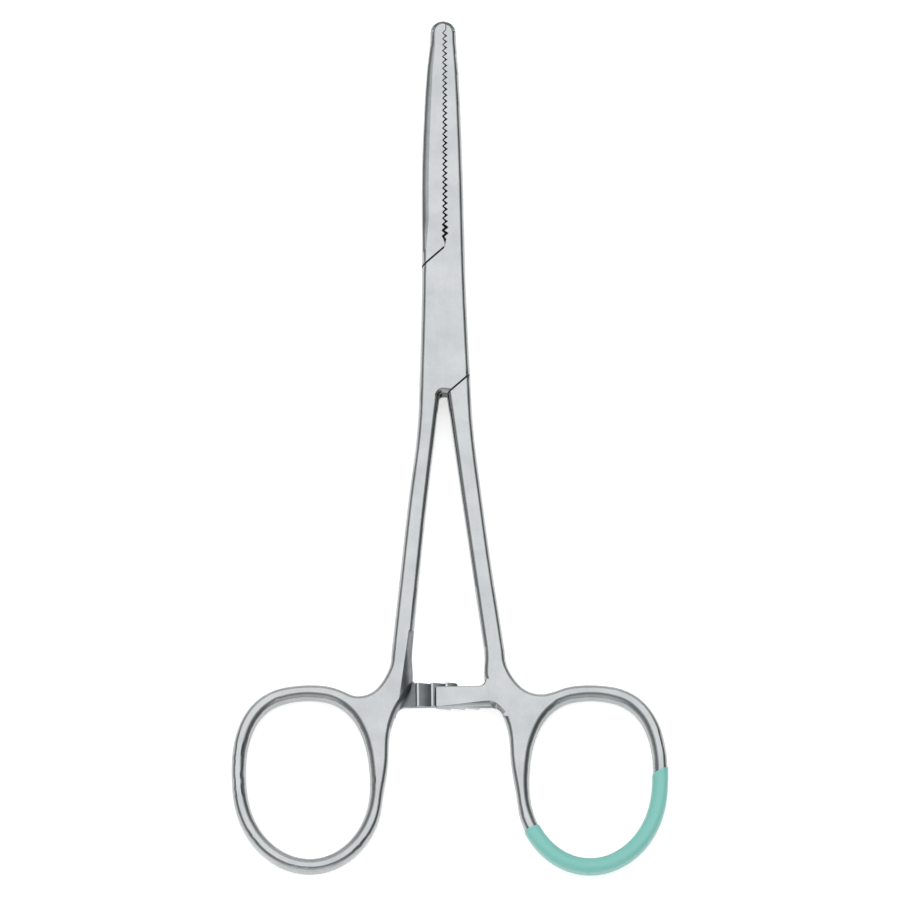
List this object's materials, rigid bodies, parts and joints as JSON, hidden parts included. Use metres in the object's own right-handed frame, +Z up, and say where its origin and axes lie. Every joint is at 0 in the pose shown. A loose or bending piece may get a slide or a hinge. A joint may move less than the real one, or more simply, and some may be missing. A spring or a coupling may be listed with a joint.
{
  "type": "pean forceps",
  "caption": "Straight pean forceps: serrated jaws on a box lock, slim shanks with a ratchet between them, and finger rings with a colour dip.",
  "frame": {"origin": "on the hinge axis, in the plane of the box's underside, on which the closed forceps lie", "axes": "+Z up along the hinge axis, +Y along the tool towards the tips, +X to the right as seen from above with the tips away"},
  "size_m": [0.0693, 0.1407, 0.0048],
  "materials": {
    "steel": "satin",
    "pin_steel": "satin",
    "colour_coat": "semi-gloss"
  },
  "bodies": {
    "box_side": {"box_half": "steel", "lock_pin": "pin_steel"},
    "tongue_side": {"tongue_half": "steel", "colour_coating": "colour_coat"}
  },
  "joints": [
    {"name": "jaw_opening", "type": "hinge", "parent": "box_side", "child": "tongue_side", "pos_m": [0, 0, 0.0024], "axis": [0, 0, 1], "range_deg": [0, 70]}
  ]
}
